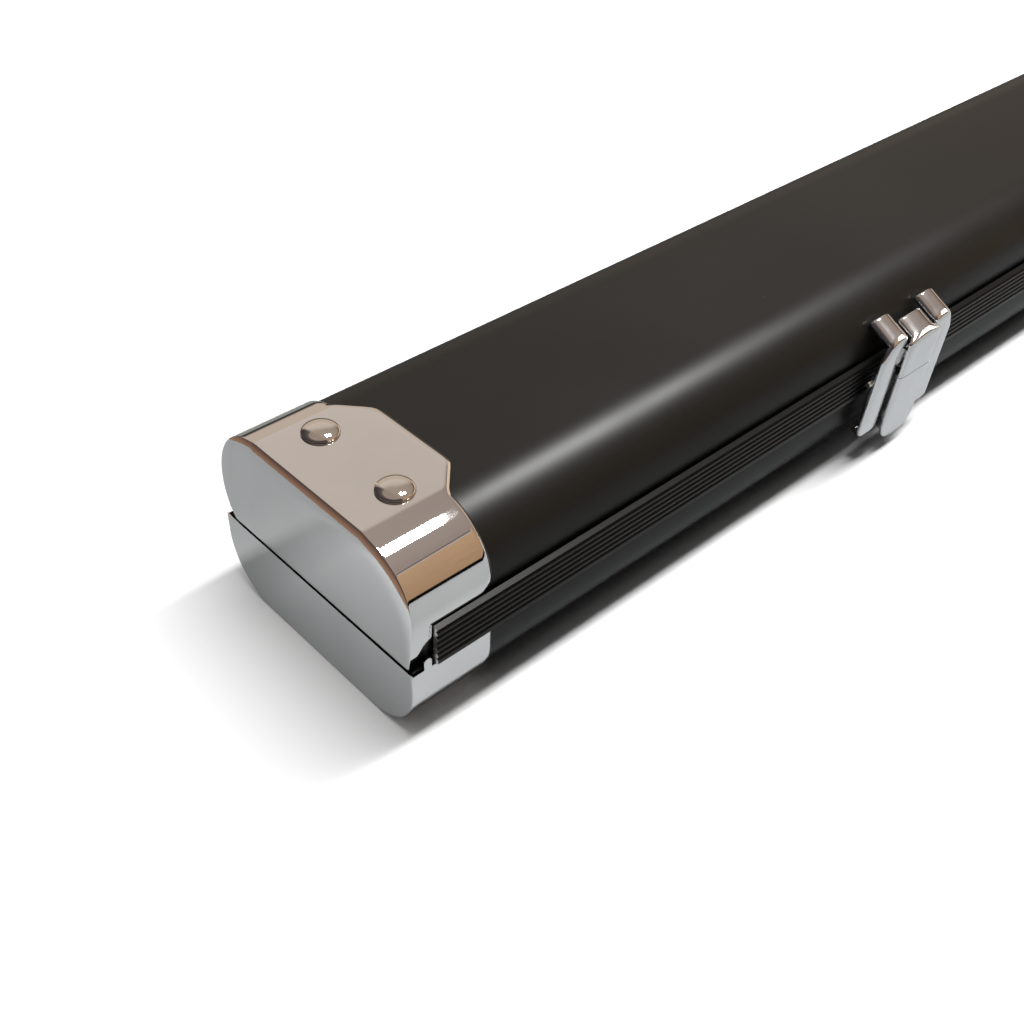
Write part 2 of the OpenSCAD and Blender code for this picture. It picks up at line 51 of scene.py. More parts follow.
cap_low, cap_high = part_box("lid_cap_left")
base_cap_low, base_cap_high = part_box("base_cap_left")
shell_low, shell_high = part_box("lid_shell")
base_shell_low, base_shell_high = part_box("base_shell")
strip_box_low, strip_box_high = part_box("closing_strip")

MID_Y = (base_cap_low.y + base_cap_high.y) / 2
END_X = -cap_low.x
HALF_WIDTH = (base_cap_high.y - base_cap_low.y) / 2
CASE_TOP = cap_high.z
SEAM_TOP = cap_low.z
BASE_EDGE = base_shell_high.z
LID_EDGE = shell_low.z

CAP_TOP = CASE_TOP - 0.5 * MM
SHOULDER_RADIUS = 18.7 * MM
SHOULDER_Y = HALF_WIDTH - SHOULDER_RADIUS
SHOULDER_Z = CAP_TOP - SHOULDER_RADIUS
HINGE_CURL = 22.7 * MM     # radius of the lid's rear side below the shoulder
FRONT_CURL = 65 * MM       # radius of its front side
KEEL_RADIUS = 17.6 * MM    # radius of the base's lower corners
KEEL_Y = HALF_WIDTH - KEEL_RADIUS
SHELL_INSET = 1.0 * MM     # how far the shells lie inside the caps' outline
SHELL_WALL = 1.4 * MM
LIP = 1.2 * MM             # thickness of the inner shelf along the hinge
LIP_INNER = 27.0 * MM      # where that shelf ends, from the mid-plane
FLANGE_REACH = 26.2 * MM   # length of a cap's sides
TONGUE_REACH = cap_high.x + END_X
TONGUE_HALF = 14.4 * MM    # half of the tongue's width at its end
PLATEAU_HALF = 23.3 * MM   # half of its width where it meets the sides

PIVOT_Y = -43.9 * MM
PIVOT_Z = 31.0 * MM
LATCH_X = 224 * MM
LATCH_LEAN = math.radians(4)


# ---------------------------------------------------------------- mesh helpers

def arc(cy, cz, radius, start, end, count):
    """Points on an arc in the YZ plane, with angles in degrees from +Y towards +Z."""
    turns = [math.radians(start + (end - start) * k / count) for k in range(count + 1)]
    return [(cy + radius * math.cos(t), cz + radius * math.sin(t)) for t in turns]


def smooth(low, high, value):
    """Goes from 0 to 1 between low and high, level at both ends."""
    t = min(1.0, max(0.0, (value - low) / (high - low)))
    return t * t * (3 - 2 * t)


def bake(piece, sharp=35):
    """Applies the piece's modifiers and marks its edges sharp past an angle in degrees."""
    graph = bpy.context.evaluated_depsgraph_get()
    graph.update()
    mesh = bpy.data.meshes.new_from_object(piece.evaluated_get(graph), depsgraph=graph)
    piece.modifiers.clear()
    piece.data = mesh
    mesh.polygons.foreach_set("use_smooth", [True] * len(mesh.polygons))
    mesh.set_sharp_from_angle(angle=math.radians(sharp))
    return piece


def add_piece(name, bm, materials, bevel=0.0, segments=2, wall=0.0, sharp=35):
    """Makes an object of a bmesh given in the case frame, with a wall and rounded edges."""
    mesh = bpy.data.meshes.new(name)
    bmesh.ops.translate(bm, verts=bm.verts, vec=(0, MID_Y, 0))
    bm.to_mesh(mesh)
    bm.free()
    piece = bpy.data.objects.new(name, mesh)
    scene.collection.objects.link(piece)
    for one in materials:
        mesh.materials.append(one)
    if wall:
        solid = piece.modifiers.new("wall", "SOLIDIFY")
        solid.thickness = wall
        solid.offset = -1
        solid.use_even_offset = True
    if bevel:
        rounding = piece.modifiers.new("edges", "BEVEL")
        rounding.width = bevel
        rounding.segments = segments
        rounding.limit_method = "ANGLE"
        rounding.angle_limit = math.radians(40)
        rounding.use_clamp_overlap = True
    return bake(piece, sharp)


def settle(piece, body, slot, *nodes):
    """Puts a finished piece on its body and hides the CAD nodes it stands for. Its slot is not used."""
    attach(piece, body)
    if nodes:
        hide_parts(*nodes)
    return piece


def extrusion(bm, outline, x0, x1):
    """Runs a closed outline of (y, z) points from x0 to x1, with flat ends."""
    first = [bm.verts.new((x0, y, z)) for y, z in outline]
    last = [bm.verts.new((x1, y, z)) for y, z in outline]
    count = len(outline)
    for k in range(count):
        n = (k + 1) % count
        bm.faces.new((first[k], first[n], last[n], last[k]))
    bm.faces.new(reversed(first))
    bm.faces.new(last)
    bmesh.ops.recalc_face_normals(bm, faces=bm.faces)


def loft(bm, rings):
    """Joins rings, each a list of points, into one skin that is closed at both ends."""
    made = [[bm.verts.new(p) for p in ring] for ring in rings]
    count = len(made[0])
    faces = []
    for a, b in zip(made, made[1:]):
        for k in range(count):
            n = (k + 1) % count
            faces.append(bm.faces.new((a[k], a[n], b[n], b[k])))
    faces.append(bm.faces.new(reversed(made[0])))
    faces.append(bm.faces.new(made[-1]))
    bmesh.ops.recalc_face_normals(bm, faces=faces)


def turned(bm, profile, start, direction, count=48):
    """Turns a profile of (distance along, radius) points around a line."""
    axis = Vector(direction).normalized()
    side = axis.orthogonal().normalized()
    other = axis.cross(side)
    rings = []
    for along, radius in profile:
        centre = Vector(start) + axis * along
        ring = []
        for k in range(count):
            t = 2 * math.pi * k / count
            ring.append(centre + (side * math.cos(t) + other * math.sin(t)) * radius)
        rings.append(ring)
    loft(bm, rings)


def mirror(bm):
    """Moves a skin to the other end of the case."""
    bmesh.ops.scale(bm, vec=(-1, 1, 1), verts=bm.verts)
    bmesh.ops.reverse_faces(bm, faces=bm.faces)


# ---------------------------------------------------------------- materials

FIRST_COLOUR, SECOND_COLOUR, MIXED_COLOUR = 6, 7, 2     # a Mix node's sockets for colours


def new_material(name):
    made = bpy.data.materials.new(name)
    made.use_nodes = True
    tree = made.node_tree
    return made, tree, tree.nodes["Principled BSDF"]


def node(tree, kind, **values):
    """Adds a node, with each value set on the input or the setting of that name."""
    made = tree.nodes.new(kind)
    for key, value in values.items():
        if key in made.inputs:
            made.inputs[key].default_value = value
        else:
            setattr(made, key, value)
    return made


def coordinates(tree, stretch=(1, 1, 1)):
    """Object coordinates in metres, multiplied along each axis."""
    place = node(tree, "ShaderNodeTexCoord")
    mapping = node(tree, "ShaderNodeMapping")
    mapping.inputs["Scale"].default_value = stretch
    tree.links.new(place.outputs["Object"], mapping.inputs["Vector"])
    return mapping.outputs["Vector"]


def noise(tree, scale, detail=3.0, stretch=(1, 1, 1), roughness=0.5):
    made = node(tree, "ShaderNodeTexNoise", Scale=scale, Detail=detail, Roughness=roughness)
    tree.links.new(coordinates(tree, stretch), made.inputs["Vector"])
    return made.outputs["Fac"]


def spread(tree, source, low, high, start=0.3, end=0.7):
    """Maps a source between start and end to values from low to high."""
    made = node(tree, "ShaderNodeMapRange")
    made.inputs["From Min"].default_value = start
    made.inputs["From Max"].default_value = end
    made.inputs["To Min"].default_value = low
    made.inputs["To Max"].default_value = high
    tree.links.new(source, made.inputs["Value"])
    return made.outputs["Result"]


def mixed(tree, factor, first, second):
    """Goes from one colour to another, each given as three numbers or as a socket."""
    made = node(tree, "ShaderNodeMix", data_type="RGBA")
    tree.links.new(factor, made.inputs["Factor"])
    for place, colour in ((FIRST_COLOUR, first), (SECOND_COLOUR, second)):
        if isinstance(colour, tuple):
            made.inputs[place].default_value = (*colour, 1)
        else:
            tree.links.new(colour, made.inputs[place])
    return made.outputs[MIXED_COLOUR]


def dimmed(tree, colour, factor):
    """A colour multiplied by a factor that varies."""
    made = node(tree, "ShaderNodeVectorMath", operation="SCALE")
    tree.links.new(colour, made.inputs[0])
    tree.links.new(factor, made.inputs["Scale"])
    return made.outputs["Vector"]


def bump(tree, height, strength, distance, under=None):
    made = node(tree, "ShaderNodeBump", Strength=strength, Distance=distance)
    tree.links.new(height, made.inputs["Height"])
    if under is not None:
        tree.links.new(under, made.inputs["Normal"])
    return made.outputs["Normal"]


def dust(tree):
    """Where dust lies: a small round speck in about one cell of ten."""
    cells = node(tree, "ShaderNodeTexVoronoi", Scale=95.0)
    tree.links.new(coordinates(tree), cells.inputs["Vector"])
    speck = spread(tree, cells.outputs["Distance"], 1, 0, 0.012, 0.024)
    cell = node(tree, "ShaderNodeSeparateColor")
    tree.links.new(cells.outputs["Color"], cell.inputs["Color"])
    chosen = spread(tree, cell.outputs[0], 0, 1, 0.90, 0.91)
    both = node(tree, "ShaderNodeMath", operation="MULTIPLY")
    tree.links.new(speck, both.inputs[0])
    tree.links.new(chosen, both.inputs[1])
    return both.outputs[0]


def anodised(name, dark, light, rough, grain, gloss):
    """Satin black anodised aluminium with a fine drawn grain along the case and a little dust."""
    made, tree, shader = new_material(name)
    body = mixed(tree, spread(tree, noise(tree, 14, 4), 0, 1), dark, light)
    dusty = mixed(tree, dust(tree), body, (0.30, 0.29, 0.27))
    tree.links.new(dusty, shader.inputs["Base Color"])
    handled = spread(tree, noise(tree, 30, 5), *rough)
    tree.links.new(handled, shader.inputs["Roughness"])
    drawn = bump(tree, noise(tree, 1, 3, stretch=(25, 2600, 2600)), grain, 0.02 * MM)
    fine = bump(tree, noise(tree, 5200, 2), grain * 0.8, 0.02 * MM, drawn)
    tree.links.new(fine, shader.inputs["Normal"])
    shader.inputs["Specular IOR Level"].default_value = gloss
    return made


def metal(name, colour, rough, ripple=0.0, scratch=0.0, smudge=25):
    """Plated or bare metal with smudges in its gloss, a faint ripple and hairline scratches."""
    made, tree, shader = new_material(name)
    darker = tuple(c * 0.93 for c in colour)
    body = mixed(tree, spread(tree, noise(tree, smudge * 1.7, 3), 0, 1), darker, colour)
    tree.links.new(body, shader.inputs["Base Color"])
    shader.inputs["Metallic"].default_value = 1.0
    gloss = spread(tree, noise(tree, smudge, 6, roughness=0.6), *rough, 0.35, 0.7)
    tree.links.new(gloss, shader.inputs["Roughness"])
    normal = None
    if ripple:
        normal = bump(tree, noise(tree, 45, 1), ripple, 0.6 * MM)
    if scratch:
        hair = noise(tree, 1, 2, stretch=(60, 3000, 1800))
        normal = bump(tree, hair, scratch, 0.01 * MM, normal)
    if normal is not None:
        tree.links.new(normal, shader.inputs["Normal"])
    return made


def flock(name, dark, light):
    """Black flocked foam with a soft nap."""
    made, tree, shader = new_material(name)
    body = mixed(tree, spread(tree, noise(tree, 900, 4), 0, 1), dark, light)
    tree.links.new(body, shader.inputs["Base Color"])
    shader.inputs["Roughness"].default_value = 0.95
    shader.inputs["Sheen Weight"].default_value = 0.35
    shader.inputs["Sheen Roughness"].default_value = 0.4
    pile = bump(tree, noise(tree, 2600, 3), 0.6, 0.3 * MM)
    dents = bump(tree, noise(tree, 60, 3), 0.35, 1 * MM, pile)
    tree.links.new(dents, shader.inputs["Normal"])
    return made


def moulded(name, dark, light):
    """Black moulded plastic with a pebbled skin."""
    made, tree, shader = new_material(name)
    body = mixed(tree, spread(tree, noise(tree, 50, 3), 0, 1), dark, light)
    tree.links.new(body, shader.inputs["Base Color"])
    tree.links.new(spread(tree, noise(tree, 80, 4), 0.42, 0.58), shader.inputs["Roughness"])
    pebble = node(tree, "ShaderNodeTexVoronoi", Scale=1500.0)
    tree.links.new(coordinates(tree), pebble.inputs["Vector"])
    skin = bump(tree, pebble.outputs["Distance"], 0.25, 0.2 * MM)
    tree.links.new(skin, shader.inputs["Normal"])
    return made


SATIN = anodised("satin_black", (0.0075, 0.0068, 0.0058), (0.0100, 0.0090, 0.0075),
                 rough=(0.36, 0.41), grain=0.12, gloss=0.25)
SATIN_STRIP = anodised("satin_strip", (0.006, 0.006, 0.006), (0.008, 0.008, 0.007),
                       rough=(0.28, 0.33), grain=0.10, gloss=0.17)
CHROME = metal("chrome_cap", (0.80, 0.79, 0.78), (0.015, 0.05), ripple=0.012, scratch=0.03)
CHROME_RIVET = metal("chrome_rivet", (0.82, 0.79, 0.74), (0.03, 0.09),
                     ripple=0.03, scratch=0.10, smudge=300)
CHROME_LATCH = metal("chrome_latch", (0.73, 0.73, 0.73), (0.09, 0.20),
                     ripple=0.05, scratch=0.10, smudge=120)
ZINC = metal("zinc_plate", (0.62, 0.61, 0.58), (0.25, 0.42), ripple=0.05, scratch=0.25, smudge=150)
STEEL = metal("steel_pin", (0.66, 0.65, 0.63), (0.15, 0.28), scratch=0.25, smudge=200)
NICKEL = metal("nickel_hinge", (0.50, 0.48, 0.44), (0.40, 0.46), scratch=0.12, smudge=30)
RAW_ALUMINIUM = metal("cut_aluminium", (0.86, 0.86, 0.85), (0.28, 0.42), scratch=0.6, smudge=400)
FOAM = flock("flocked_foam", (0.006, 0.006, 0.007), (0.016, 0.016, 0.018))
GRIP = moulded("moulded_grip", (0.010, 0.010, 0.010), (0.018, 0.017, 0.017))


# ---------------------------------------------------------------- shells

def lid_section(inset):
    """The lid's outline at an inset: front seam, over the top, rear seam."""
    front_y = FRONT_CURL - HALF_WIDTH
    rear_y = HALF_WIDTH - HINGE_CURL
    drop = SHOULDER_Z - LID_EDGE
    front = 180 + math.degrees(math.asin(drop / (FRONT_CURL - inset)))
    rear = -math.degrees(math.asin(drop / (HINGE_CURL - inset)))
    radius = SHOULDER_RADIUS - inset
    points = arc(front_y, SHOULDER_Z, FRONT_CURL - inset, front, 180, 8)
    points += arc(-SHOULDER_Y, SHOULDER_Z, radius, 180, 90, 28)[1:]
    points += arc(SHOULDER_Y, SHOULDER_Z, radius, 90, 0, 28)
    points += arc(rear_y, SHOULDER_Z, HINGE_CURL - inset, 0, rear, 12)[1:]
    return points


def base_section(inset):
    """The base's outline at an inset: front edge, round the keel, rear edge."""
    side = HALF_WIDTH - inset
    radius = KEEL_RADIUS - inset
    points = [(-side, BASE_EDGE)]
    points += arc(-KEEL_Y, KEEL_RADIUS, radius, 180, 270, 24)
    points += arc(KEEL_Y, KEEL_RADIUS, radius, 270, 360, 24)
    points.append((side, BASE_EDGE))
    return points


def lid_panel():
    outer = lid_section(SHELL_INSET)
    inner = lid_section(SHELL_INSET + SHELL_WALL)
    lip_top = LID_EDGE + LIP
    shelf = [p for p in inner if not (p[0] > 0 and p[1] < lip_top)]
    rear_wall = shelf[-1][0]
    outline = outer + [(LIP_INNER, LID_EDGE), (LIP_INNER, lip_top), (rear_wall, lip_top)]
    outline += reversed(shelf)
    bm = bmesh.new()
    extrusion(bm, outline, shell_low.x, shell_high.x)
    piece = add_piece("lid_panel", bm, [SATIN], bevel=0.2 * MM)
    return settle(piece, "lid", "anodised", "lid_shell")


def base_panel():
    outer = base_section(SHELL_INSET)
    inner = base_section(SHELL_INSET + SHELL_WALL)
    lip_low = BASE_EDGE - LIP
    wall_y = inner[-1][0]
    outline = outer + [(LIP_INNER, BASE_EDGE), (LIP_INNER, lip_low), (wall_y, lip_low)]
    outline += reversed(inner[:-1])
    bm = bmesh.new()
    extrusion(bm, outline, base_shell_low.x, base_shell_high.x)
    piece = add_piece("base_panel", bm, [SATIN], bevel=0.2 * MM)
    return settle(piece, "base", "anodised", "base_shell")


# ---------------------------------------------------------------- closing strip

STRIP_FACE = 41.5 * MM
STRIP_BACK = 39.5 * MM
STRIP_TOP = strip_box_high.z
STRIP_LOW = 25.0 * MM
RIB_COUNT = 6
RIB_STEPS = 12
GROOVE_DEPTH = 0.72 * MM
CROWN = 1.3 * MM          # height of the plain band over the ribs


def rib_line():
    """The ribbed face from its lower edge up: rounded ribs with narrow grooves between them."""
    pitch = (STRIP_TOP - CROWN - STRIP_LOW) / RIB_COUNT
    line = []
    for k in range(RIB_COUNT * RIB_STEPS + 1):
        height = k / RIB_STEPS
        groove = (0.5 + 0.5 * math.cos(2 * math.pi * (height - 1))) ** 3
        if k < RIB_STEPS / 2:
            groove = 0
        line.append((-STRIP_FACE + GROOVE_DEPTH * groove, STRIP_LOW + height * pitch))
    return line


def ribbed_rail():
    """Ribbed strip: its face, a top that slopes up towards the lid, and a bridge in to its tail."""
    bridge = STRIP_LOW + 0.2 * MM
    ledge = STRIP_LOW + 2 * MM
    seat = BASE_EDGE + 0.05 * MM
    tail_inner, tail_outer = -36.3 * MM, -37.4 * MM
    outline = rib_line() + [
        (-41.44 * MM, STRIP_TOP - 0.86 * MM),
        (-41.38 * MM, STRIP_TOP - 0.74 * MM),
        (-41.30 * MM, STRIP_TOP - 0.70 * MM),
        (-40.06 * MM, STRIP_TOP - 0.14 * MM),
        (-39.98 * MM, STRIP_TOP - 0.10 * MM),
        (-39.94 * MM, STRIP_TOP - 0.11 * MM),
        (-39.90 * MM, STRIP_TOP - 0.20 * MM),
        (-39.9 * MM, ledge),
        (-STRIP_BACK, ledge),
        (-STRIP_BACK, bridge),
        (tail_inner, bridge),
        (tail_inner, KEEL_RADIUS),
        (tail_outer, KEEL_RADIUS),
        (tail_outer, seat),
        (-40.2 * MM, seat),
        (-40.2 * MM, STRIP_LOW)
    ]
    bm = bmesh.new()
    extrusion(bm, outline, strip_box_low.x, strip_box_high.x)
    for face in bm.faces:
        cut_end = abs(face.normal.x) > 0.9
        face.material_index = 1 if cut_end else 0
    piece = add_piece("ribbed_rail", bm, [SATIN_STRIP, RAW_ALUMINIUM], sharp=60)
    return settle(piece, "base", "anodised_strip", "closing_strip")


# ---------------------------------------------------------------- end caps

PLATEAU_RISE = 0.28 * MM
EDGE_DEPTH = 1.3 * MM     # how far the end wall's rounded edge reaches along the case
EDGE_REACH = 7.0 * MM     # how far it reaches in over the end wall
EDGE_STEPS = 14
FLANGE_STEPS = 16
FLAT_STEPS = 34           # rows across the flat top and the flat bottom
RIM_LENGTH = 1.2 * MM     # the back edge is turned down towards the shell
RIM_DROP = 0.74 * MM
RIM_STEPS = 9
SHEET = 0.25 * MM
CAP_BEVEL = 0.13 * MM
LOBE_TOP = 29.3 * MM      # below this height the lid cap's front side is only its end wall
LOBE_REACH = 1.2 * MM
BASE_FLANGE_TOP = 23.8 * MM

# the cut-out round the strip's end in the lid cap's front side: (height, distance from the end) in mm
NOTCH = [(33.2, 6.5), (32.8, 5.2), (32.4, 4.7), (31.8, 4.05),
         (31.1, 3.55), (30.4, 3.15), (29.8, 2.85), (29.3, 2.55)]


def tongue_edge(y):
    """Where the cap's back edge lies at a distance y from the mid-plane."""
    full = TONGUE_REACH - FLANGE_REACH
    slope = full / (PLATEAU_HALF - TONGUE_HALF)
    raw = full - (abs(y) - TONGUE_HALF) * slope
    # both corners of the taper are slightly rounded
    soft = 0.5 * MM
    upper = -soft * math.log(math.exp(-raw / soft) + math.exp(-full / soft))
    lower = soft * math.log(math.exp(upper / soft) + 1)
    return FLANGE_REACH + min(lower, full)


def far_edge(y, z):
    """The back edge of a cap: the tongue's taper, and a rounded corner above the strip."""
    reach = tongue_edge(y)
    corner = 4 * MM
    low = STRIP_TOP + 0.6 * MM
    if y < 0 and low - 0.01 * MM <= z < low + corner:
        reach -= corner - math.sqrt(corner ** 2 - (low + corner - z) ** 2)
    return reach


def lid_rows(inset):
    """The lid cap's outline from the front seam to the rear seam, as (y, z) at an inset."""
    heights = [25.65, 26.3, 27.1, 27.9, 28.6] + [height for height, _ in reversed(NOTCH)]
    heights += [34.0, 35.2, 36.4, 37.7, 38.25]
    shoulder_steps, rear_steps = 44, 16
    front_y = FRONT_CURL - HALF_WIDTH
    rear_y = HALF_WIDTH - HINGE_CURL
    rows = []
    for height in heights:
        z = height * MM
        across = math.sqrt((FRONT_CURL - inset) ** 2 - (SHOULDER_Z - z) ** 2)
        rows.append((front_y - across, z))
    radius = SHOULDER_RADIUS - inset
    rows += arc(-SHOULDER_Y, SHOULDER_Z, radius, 180, 90, shoulder_steps)
    for k in range(1, FLAT_STEPS):
        rows.append((-SHOULDER_Y + 2 * SHOULDER_Y * k / FLAT_STEPS, CAP_TOP - inset))
    rows += arc(SHOULDER_Y, SHOULDER_Z, radius, 90, 0, shoulder_steps)
    for k in range(1, rear_steps + 1):
        z = SHOULDER_Z + (SEAM_TOP - SHOULDER_Z) * k / rear_steps
        across = math.sqrt((HINGE_CURL - inset) ** 2 - (SHOULDER_Z - z) ** 2)
        rows.append((rear_y + across, z))
    raised = []
    for y, z in rows:
        share = 1 - smooth(22.0 * MM, 24.6 * MM, abs(y)) if z > SHOULDER_Z else 0
        raised.append((y, z + PLATEAU_RISE * share))
    return raised


def base_rows(inset):
    """The base cap's outline from the rear edge, round the keel, to the front edge."""
    side = HALF_WIDTH - inset
    radius = KEEL_RADIUS - inset
    heights = [24.35, 24.1, 23.8, 22.8, 21.6, 20.4, 19.2, 18.2]
    keel_steps = 40
    rows = [(side, height * MM) for height in heights]
    rows += arc(KEEL_Y, KEEL_RADIUS, radius, 360, 270, keel_steps)
    for k in range(1, FLAT_STEPS):
        rows.append((KEEL_Y - 2 * KEEL_Y * k / FLAT_STEPS, inset))
    rows += arc(-KEEL_Y, KEEL_RADIUS, radius, 270, 180, keel_steps)
    rows += [(-side, height * MM) for height in reversed(heights)]
    return rows


def edge_columns():
    """The end wall's rounded edge, as (distance from the end, distance in from the sides)."""
    depth = EDGE_DEPTH - 0.25 * MM
    reach = EDGE_REACH - 0.1 * MM
    columns = [(0.0, EDGE_REACH + 0.3 * MM)]
    for k in range(EDGE_STEPS + 1):
        inward = (1 - k / EDGE_STEPS) ** 1.6
        columns.append((depth * (1 - inward) ** 3.4, 0.1 * MM + reach * inward))
    return columns + [(EDGE_DEPTH - 0.14 * MM, 0.025 * MM), (EDGE_DEPTH, 0.0)]


def rim_columns():
    """The turned-down back edge, as (distance past the flat, distance down)."""
    shares = [k / RIM_STEPS for k in range(1, RIM_STEPS + 1)]
    return [(RIM_LENGTH * share, RIM_DROP * share ** 1.15) for share in shares]


def cap_grid(section, near_columns, near_edge, edge_share):
    """Rows of (distance from the end, y, z) from the end wall over its edge to the back edge.

    near_columns are distances from the end that rows share, near_edge(y, z) is where a row
    near a notch ends, or None, and edge_share(z) is how much of the rounded edge a row has."""
    rim = rim_columns()
    outer = section(0.0)
    deep = section(EDGE_REACH)
    turned_down = [section(inset) for _, inset in rim]
    common = near_columns[-1]
    grid = []
    for row, (y, z) in enumerate(outer):
        share = edge_share(z)
        way_y = (deep[row][0] - y) / EDGE_REACH
        way_z = (deep[row][1] - z) / EDGE_REACH
        line = []
        for x, inset in edge_columns():
            line.append((x * share, y + way_y * inset * share, z + way_z * inset * share))
        edge = near_edge(y, z)
        for x in near_columns:
            if edge is not None:
                x = EDGE_DEPTH + (x - EDGE_DEPTH) * (edge - EDGE_DEPTH) / (common - EDGE_DEPTH)
            line.append((x, y, z))
        if edge is None:
            flat = far_edge(y, z) - RIM_LENGTH
            for k in range(1, FLANGE_STEPS + 1):
                line.append((common + (flat - common) * k / FLANGE_STEPS, y, z))
            for (along, _), lowered in zip(rim, turned_down):
                line.append((flat + along, *lowered[row]))
        grid.append(line)
    return grid


def cap_skin(bm, grid, keep):
    """Skin over a cap's grid, where keep(y, z) says whether it goes on past the end wall's edge."""
    wall_end = len(edge_columns()) - 1
    verts = [[bm.verts.new((x - END_X, y, z)) for x, y, z in line] for line in grid]
    for row, (this, after) in enumerate(zip(grid, grid[1:])):
        for k in range(min(len(this), len(after)) - 1):
            corners = (this[k], this[k + 1], after[k], after[k + 1])
            y, z = (sum(corner[axis] for corner in corners) / 4 for axis in (1, 2))
            if k < wall_end or keep(y, z):
                bm.faces.new((verts[row][k], verts[row][k + 1],
                              verts[row + 1][k + 1], verts[row + 1][k]))
    bm.faces.new([line[0] for line in verts])
    loose = [v for v in bm.verts if not v.link_faces]
    bmesh.ops.delete(bm, geom=loose, context="VERTS")
    return verts


def lid_notch(y, z):
    """Where a row of the lid cap's front side ends at the notch, or None for a full row."""
    if y > 0 or z > STRIP_TOP + 0.5 * MM:
        return None
    if z > NOTCH[0][0] * MM - 1e-9:
        return NOTCH[0][1] * MM
    for height, reach in NOTCH:
        if abs(z - height * MM) < 0.01 * MM:
            return reach * MM
    return LOBE_REACH


def lid_cap(side):
    near = [1.6 * MM, 2.6 * MM, 3.6 * MM, 4.6 * MM, 5.6 * MM, 6.5 * MM]

    def keep(y, z):
        return z > (LOBE_TOP if y < 0 else LID_EDGE)

    def share(z):
        return 0.2 + 0.8 * smooth(27 * MM, 52 * MM, z)

    bm = bmesh.new()
    cap_skin(bm, cap_grid(lid_rows, near, lid_notch, share), keep)
    if side == "right":
        mirror(bm)
    piece = add_piece("lid_end_cap_" + side, bm, [CHROME], CAP_BEVEL, segments=3, wall=SHEET, sharp=60)
    return settle(piece, "lid", "chrome_cap", "lid_cap_" + side)


def base_tab(bm, foot):
    """Small round-topped tab that stands on the front flange, on the vertices of foot."""
    half = 1.2 * MM
    middle = 5.1 * MM
    centre = 26.0 * MM
    below = foot
    for height in (24.6, 25.4, 26.0, 26.5, 26.85, 27.08):
        rise = max(0.0, height * MM - centre)
        reach = math.sqrt(half ** 2 - rise ** 2)
        row = []
        for k in range(4):
            x = middle + reach * (2 * k / 3 - 1)
            row.append(bm.verts.new((x - END_X, -HALF_WIDTH, height * MM)))
        for k in range(3):
            bm.faces.new((below[k], below[k + 1], row[k + 1], row[k]))
        below = row


def base_cap(side):
    near = [1.9 * MM, 2.9 * MM, 3.9 * MM, 4.7 * MM, 5.5 * MM, 6.3 * MM]

    def no_notch(y, z):
        return None

    def share(z):
        return 0.22

    def keep(y, z):
        return z < BASE_FLANGE_TOP

    bm = bmesh.new()
    verts = cap_skin(bm, cap_grid(base_rows, near, no_notch, share), keep)
    # the tab stands on the last four near columns of the row at the front flange's top
    first = len(edge_columns()) + len(near) - 4
    foot = verts[-3][first:first + 4]
    base_tab(bm, foot)
    if side == "right":
        mirror(bm)
    piece = add_piece("base_end_cap_" + side, bm, [CHROME], CAP_BEVEL, segments=3, wall=SHEET, sharp=60)
    return settle(piece, "base", "chrome_cap", "base_cap_" + side)


# ---------------------------------------------------------------- cap rivets

RIVET_INSET = 16.4 * MM
RIVET_SPACING = 30 * MM
RIVET_RADIUS = 5.1 * MM
RIVET_RISE = 2.0 * MM


def dome_rivets():
    """The four domed heads on the lid caps, each with a small rolled rim."""
    steps = 14
    rim = 0.2 * MM
    profile = [
        (-0.3 * MM, RIVET_RADIUS * 0.9),
        (0.02 * MM, RIVET_RADIUS * 0.965),
        (0.14 * MM, RIVET_RADIUS)]
    for k in range(1, steps + 1):
        turn = k / steps * 0.985 * math.pi / 2
        height = rim + (RIVET_RISE - rim) * math.sin(turn) ** 1.25
        profile.append((height, RIVET_RADIUS * math.cos(turn) ** 0.9))
    bm = bmesh.new()
    for side in (-1, 1):
        for row in (-1, 1):
            place = (side * (END_X - RIVET_INSET), row * RIVET_SPACING / 2, CASE_TOP)
            turned(bm, profile, place, (0, 0, 1), 64)
    piece = add_piece("dome_rivets", bm, [CHROME_RIVET], sharp=70)
    return settle(piece, "lid", "chrome_rivet", "lid_cap_rivets")


# ---------------------------------------------------------------- latches

def bar_section(width, thickness, crown, steps=9):
    """Cross-section of a formed bar as (x, out): flat behind, crowned in front.

    A crown of 1 is a half ellipse, and smaller crowns have a flatter face with rounder sides."""
    points = []
    for k in range(2 * steps + 1):
        t = math.pi * k / (2 * steps)
        across = math.copysign(abs(math.cos(t)) ** crown, math.cos(t))
        rise = math.sin(t) ** crown
        points.append((width / 2 * across, thickness * (0.22 + 0.78 * rise)))
    return [(width / 2 * 0.86, 0.0)] + points + [(-width / 2 * 0.86, 0.0)]


def formed_bar(bm, path, x, inward=0.0):
    """Sweeps the bar's section along a path in the latch's own plane.

    Each station is (y, z, outward angle in degrees, width, thickness, crown) at the outer face,
    where an outward angle of 180 faces the front and 90 faces up. The top moves inward by inward."""
    rings = []
    for y, z, angle, width, thickness, crown in path:
        middle = x + inward * smooth(8.5 * MM, 14 * MM, z)
        out_y, out_z = math.cos(math.radians(angle)), math.sin(math.radians(angle))
        ring = []
        for across, height in bar_section(width, thickness, crown):
            depth = height - thickness
            ring.append((middle + across, y + out_y * depth, z + out_z * depth))
        rings.append(ring)
    loft(bm, rings)


